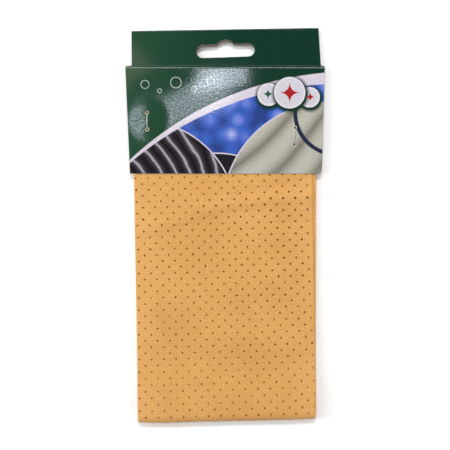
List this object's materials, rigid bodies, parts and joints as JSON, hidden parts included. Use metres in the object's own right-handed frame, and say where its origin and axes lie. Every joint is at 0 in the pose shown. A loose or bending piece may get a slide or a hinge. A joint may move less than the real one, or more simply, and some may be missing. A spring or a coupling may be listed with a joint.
{
  "type": "faux leather cleaning cloth",
  "caption": "Perforated tan faux leather cleaning cloth folded flat, with its top end stapled in a glossy card header that has a folding hang tab and a euro slot.",
  "frame": {"origin": "middle of the pack's footprint, on the surface it lies on", "axes": "+X across the pack to the right, +Y along the pack towards the hang tab, +Z out of the pack's front"},
  "size_m": [0.1094, 0.2229, 0.0089],
  "materials": {
    "faux_leather": "matte",
    "coated_board": "gloss",
    "staple_wire": "satin"
  },
  "bodies": {
    "pack": {"cleaning_cloth": "faux_leather", "header_front_panel": "coated_board", "header_back_panel": "coated_board", "header_front_shoulder": "coated_board", "header_back_shoulder": "coated_board", "staple_left": "staple_wire", "staple_right": "staple_wire"},
    "hang_tab": {"tab_front_ply": "coated_board", "tab_rear_ply": "coated_board"}
  },
  "joints": [
    {"name": "tab_crease", "type": "hinge", "parent": "pack", "child": "hang_tab", "pos_m": [0, 0.09075, 0.00367], "axis": [1, 0, 0], "range_deg": [-65, 65]}
  ]
}
